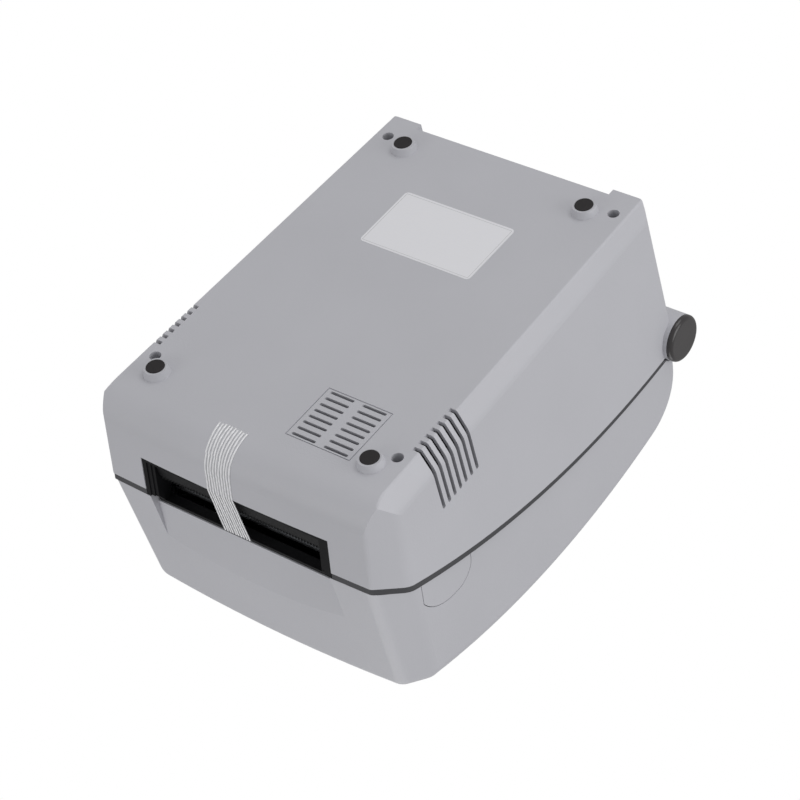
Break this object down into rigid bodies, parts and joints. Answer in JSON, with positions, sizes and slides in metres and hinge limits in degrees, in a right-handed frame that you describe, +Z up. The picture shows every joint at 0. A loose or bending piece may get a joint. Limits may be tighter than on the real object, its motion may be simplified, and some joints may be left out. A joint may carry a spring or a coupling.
{
  "type": "label printer",
  "caption": "Desktop label printer: hinged domed lid, front exit slot, release buttons, roll guides, platen drive, printhead and ribbon spindles.",
  "frame": {"origin": "centre of the bounding box on the plane that the rubber feet stand on, lid closed", "axes": "+Z up, front with the exit slot towards -Y, lid hinge at +Y, +X to the right seen from the front"},
  "size_m": [0.2018, 0.2889, 0.18],
  "materials": {
    "casing_plastic": "fine-grained light grey plastic",
    "liner_plastic": "charcoal plastic",
    "frame_plastic": "black plastic",
    "hub_plastic": "blue-grey plastic",
    "cap_plastic": "glossy black plastic",
    "gear_plastic": "natural acetal",
    "bush_plastic": "black acetal",
    "foot_rubber": "black rubber",
    "platen_rubber": "ground black rubber",
    "sheet_steel": "zinc-plated sheet",
    "bright_steel": "turned steel",
    "connector_metal": "tinned sheet",
    "motor_metal": "blackened steel",
    "sink_aluminium": "extruded aluminium",
    "head_ceramic": "glazed ceramic",
    "board_laminate": "green board",
    "light_acrylic": "clear acrylic",
    "label_film": "blank silver-grey film",
    "tape_film": "clear film with white strands"
  },
  "bodies": {
    "base": {"base_shell": "casing_plastic", "bay_liner": "liner_plastic", "rubber_feet": "foot_rubber", "case_screws": "bright_steel", "exit_bezel": "frame_plastic", "tear_bar": "bright_steel", "platen_bushes": "bush_plastic", "print_chassis": "sheet_steel", "stepper_motor": "motor_metal", "idler_post": "bright_steel", "sensor_rail": "bright_steel", "pinion_screw": "bright_steel", "main_board": "board_laminate", "board_screws": "bright_steel", "power_inlet": "cap_plastic", "usb_port": "connector_metal", "network_port": "connector_metal", "serial_port": "connector_metal", "power_switch": "cap_plastic", "hinge_shaft": "bright_steel", "hinge_cap_left": "cap_plastic", "hinge_cap_right": "cap_plastic", "rating_label": "label_film", "packing_tape": "tape_film"},
    "platen": {"platen_roller": "platen_rubber", "platen_axle": "bright_steel", "platen_gear": "gear_plastic"},
    "idler": {"idler_gear": "gear_plastic"},
    "motor_rotor": {"motor_shaft": "bright_steel", "motor_pinion": "gear_plastic"},
    "sensor": {"gap_sensor": "frame_plastic"},
    "guide_left": {"media_guide_left": "frame_plastic"},
    "guide_right": {"media_guide_right": "frame_plastic"},
    "hub_left": {"roll_hub_left": "hub_plastic"},
    "hub_right": {"roll_hub_right": "hub_plastic"},
    "pinion": {"guide_pinion": "gear_plastic"},
    "rocker": {"power_rocker": "cap_plastic"},
    "lid": {"lid_shell": "casing_plastic", "ribbon_carriage": "sheet_steel", "carriage_screws": "bright_steel", "head_pivot_pin": "bright_steel", "latch_pins": "bright_steel", "light_pipes": "light_acrylic", "key_board": "board_laminate"},
    "supply": {"ribbon_supply_spindle": "frame_plastic"},
    "takeup": {"ribbon_takeup_spindle": "frame_plastic"},
    "head": {"head_bracket": "sheet_steel", "heat_sink": "sink_aluminium", "printhead": "head_ceramic"},
    "button_left": {"release_button_left": "casing_plastic"},
    "button_right": {"release_button_right": "casing_plastic"},
    "hook_left": {"latch_left": "frame_plastic"},
    "hook_right": {"latch_right": "frame_plastic"},
    "key": {"feed_key": "casing_plastic"}
  },
  "joints": [
    {"name": "lid_hinge", "type": "hinge", "parent": "base", "child": "lid", "pos_m": [0, 0.1308, 0.1092], "axis": [-1, 0, 0], "range_deg": [0, 90]},
    {"name": "platen_spin", "type": "hinge", "parent": "base", "child": "platen", "pos_m": [0, -0.121, 0.045], "axis": [1, 0, 0], "continuous": true},
    {"name": "idler_spin", "type": "hinge", "parent": "base", "child": "idler", "pos_m": [-0.0675, -0.10622, 0.02361], "axis": [1, 0, 0], "continuous": true},
    {"name": "motor_spin", "type": "hinge", "parent": "base", "child": "motor_rotor", "pos_m": [-0.06, -0.088, 0.029], "axis": [1, 0, 0], "continuous": true},
    {"name": "sensor_slide", "type": "slide", "parent": "base", "child": "sensor", "axis": [1, 0, 0], "range_m": [-0.04, 0.04]},
    {"name": "guide_left_slide", "type": "slide", "parent": "base", "child": "guide_left", "axis": [1, 0, 0], "range_m": [-0.013, 0.03]},
    {"name": "guide_right_slide", "type": "slide", "parent": "base", "child": "guide_right", "axis": [1, 0, 0], "range_m": [-0.03, 0.013]},
    {"name": "hub_left_spin", "type": "hinge", "parent": "guide_left", "child": "hub_left", "pos_m": [-0.037, 0.032, 0.078], "axis": [1, 0, 0], "continuous": true},
    {"name": "hub_right_spin", "type": "hinge", "parent": "guide_right", "child": "hub_right", "pos_m": [0.037, 0.032, 0.078], "axis": [1, 0, 0], "continuous": true},
    {"name": "guide_pinion_spin", "type": "hinge", "parent": "base", "child": "pinion", "pos_m": [0, 0.032, 0.032], "axis": [0, 0, 1], "range_deg": [-250, 110]},
    {"name": "power_rocker_tilt", "type": "hinge", "parent": "base", "child": "rocker", "pos_m": [-0.032, 0.1186, 0.021], "axis": [1, 0, 0], "range_deg": [-8, 8]},
    {"name": "supply_spin", "type": "hinge", "parent": "lid", "child": "supply", "pos_m": [0, -0.042, 0.122], "axis": [1, 0, 0], "continuous": true},
    {"name": "takeup_spin", "type": "hinge", "parent": "lid", "child": "takeup", "pos_m": [0, -0.098, 0.108], "axis": [1, 0, 0], "continuous": true},
    {"name": "head_lift", "type": "hinge", "parent": "lid", "child": "head", "pos_m": [0, -0.084, 0.092], "axis": [-1, 0, 0], "range_deg": [0, 5], "stiffness_Nm_per_rad": 3, "springref_deg": -8.59},
    {"name": "release_left_press", "type": "slide", "parent": "lid", "child": "button_left", "axis": [1, 0, 0], "range_m": [0, 0.0018], "stiffness_N_per_m": 500, "springref_m": -0.0015},
    {"name": "release_right_press", "type": "slide", "parent": "lid", "child": "button_right", "axis": [-1, 0, 0], "range_m": [0, 0.0018], "stiffness_N_per_m": 500, "springref_m": -0.0015},
    {"name": "latch_left_swing", "type": "hinge", "parent": "lid", "child": "hook_left", "pos_m": [-0.084, -0.0835, 0.09935], "axis": [0, -1, 0], "range_deg": [0, 10.5]},
    {"name": "latch_right_swing", "type": "hinge", "parent": "lid", "child": "hook_right", "pos_m": [0.084, -0.0835, 0.09935], "axis": [0, 1, 0], "range_deg": [0, 10.5]},
    {"name": "feed_key_press", "type": "slide", "parent": "lid", "child": "key", "axis": [-0.0717, 0.2992, -0.9515], "range_m": [0, 0.0012], "stiffness_N_per_m": 400, "springref_m": -0.001}
  ],
  "couplings": [
    {"joint": "idler_spin", "follows": "platen_spin", "ratio": -1},
    {"joint": "motor_spin", "follows": "platen_spin", "ratio": 2.1667},
    {"joint": "guide_right_slide", "follows": "guide_left_slide", "ratio": -1},
    {"joint": "guide_pinion_spin", "follows": "guide_left_slide", "rad_per_m": -142.86},
    {"joint": "latch_left_swing", "follows": "release_left_press", "rad_per_m": 95.238},
    {"joint": "latch_right_swing", "follows": "release_right_press", "rad_per_m": 95.238}
  ]
}
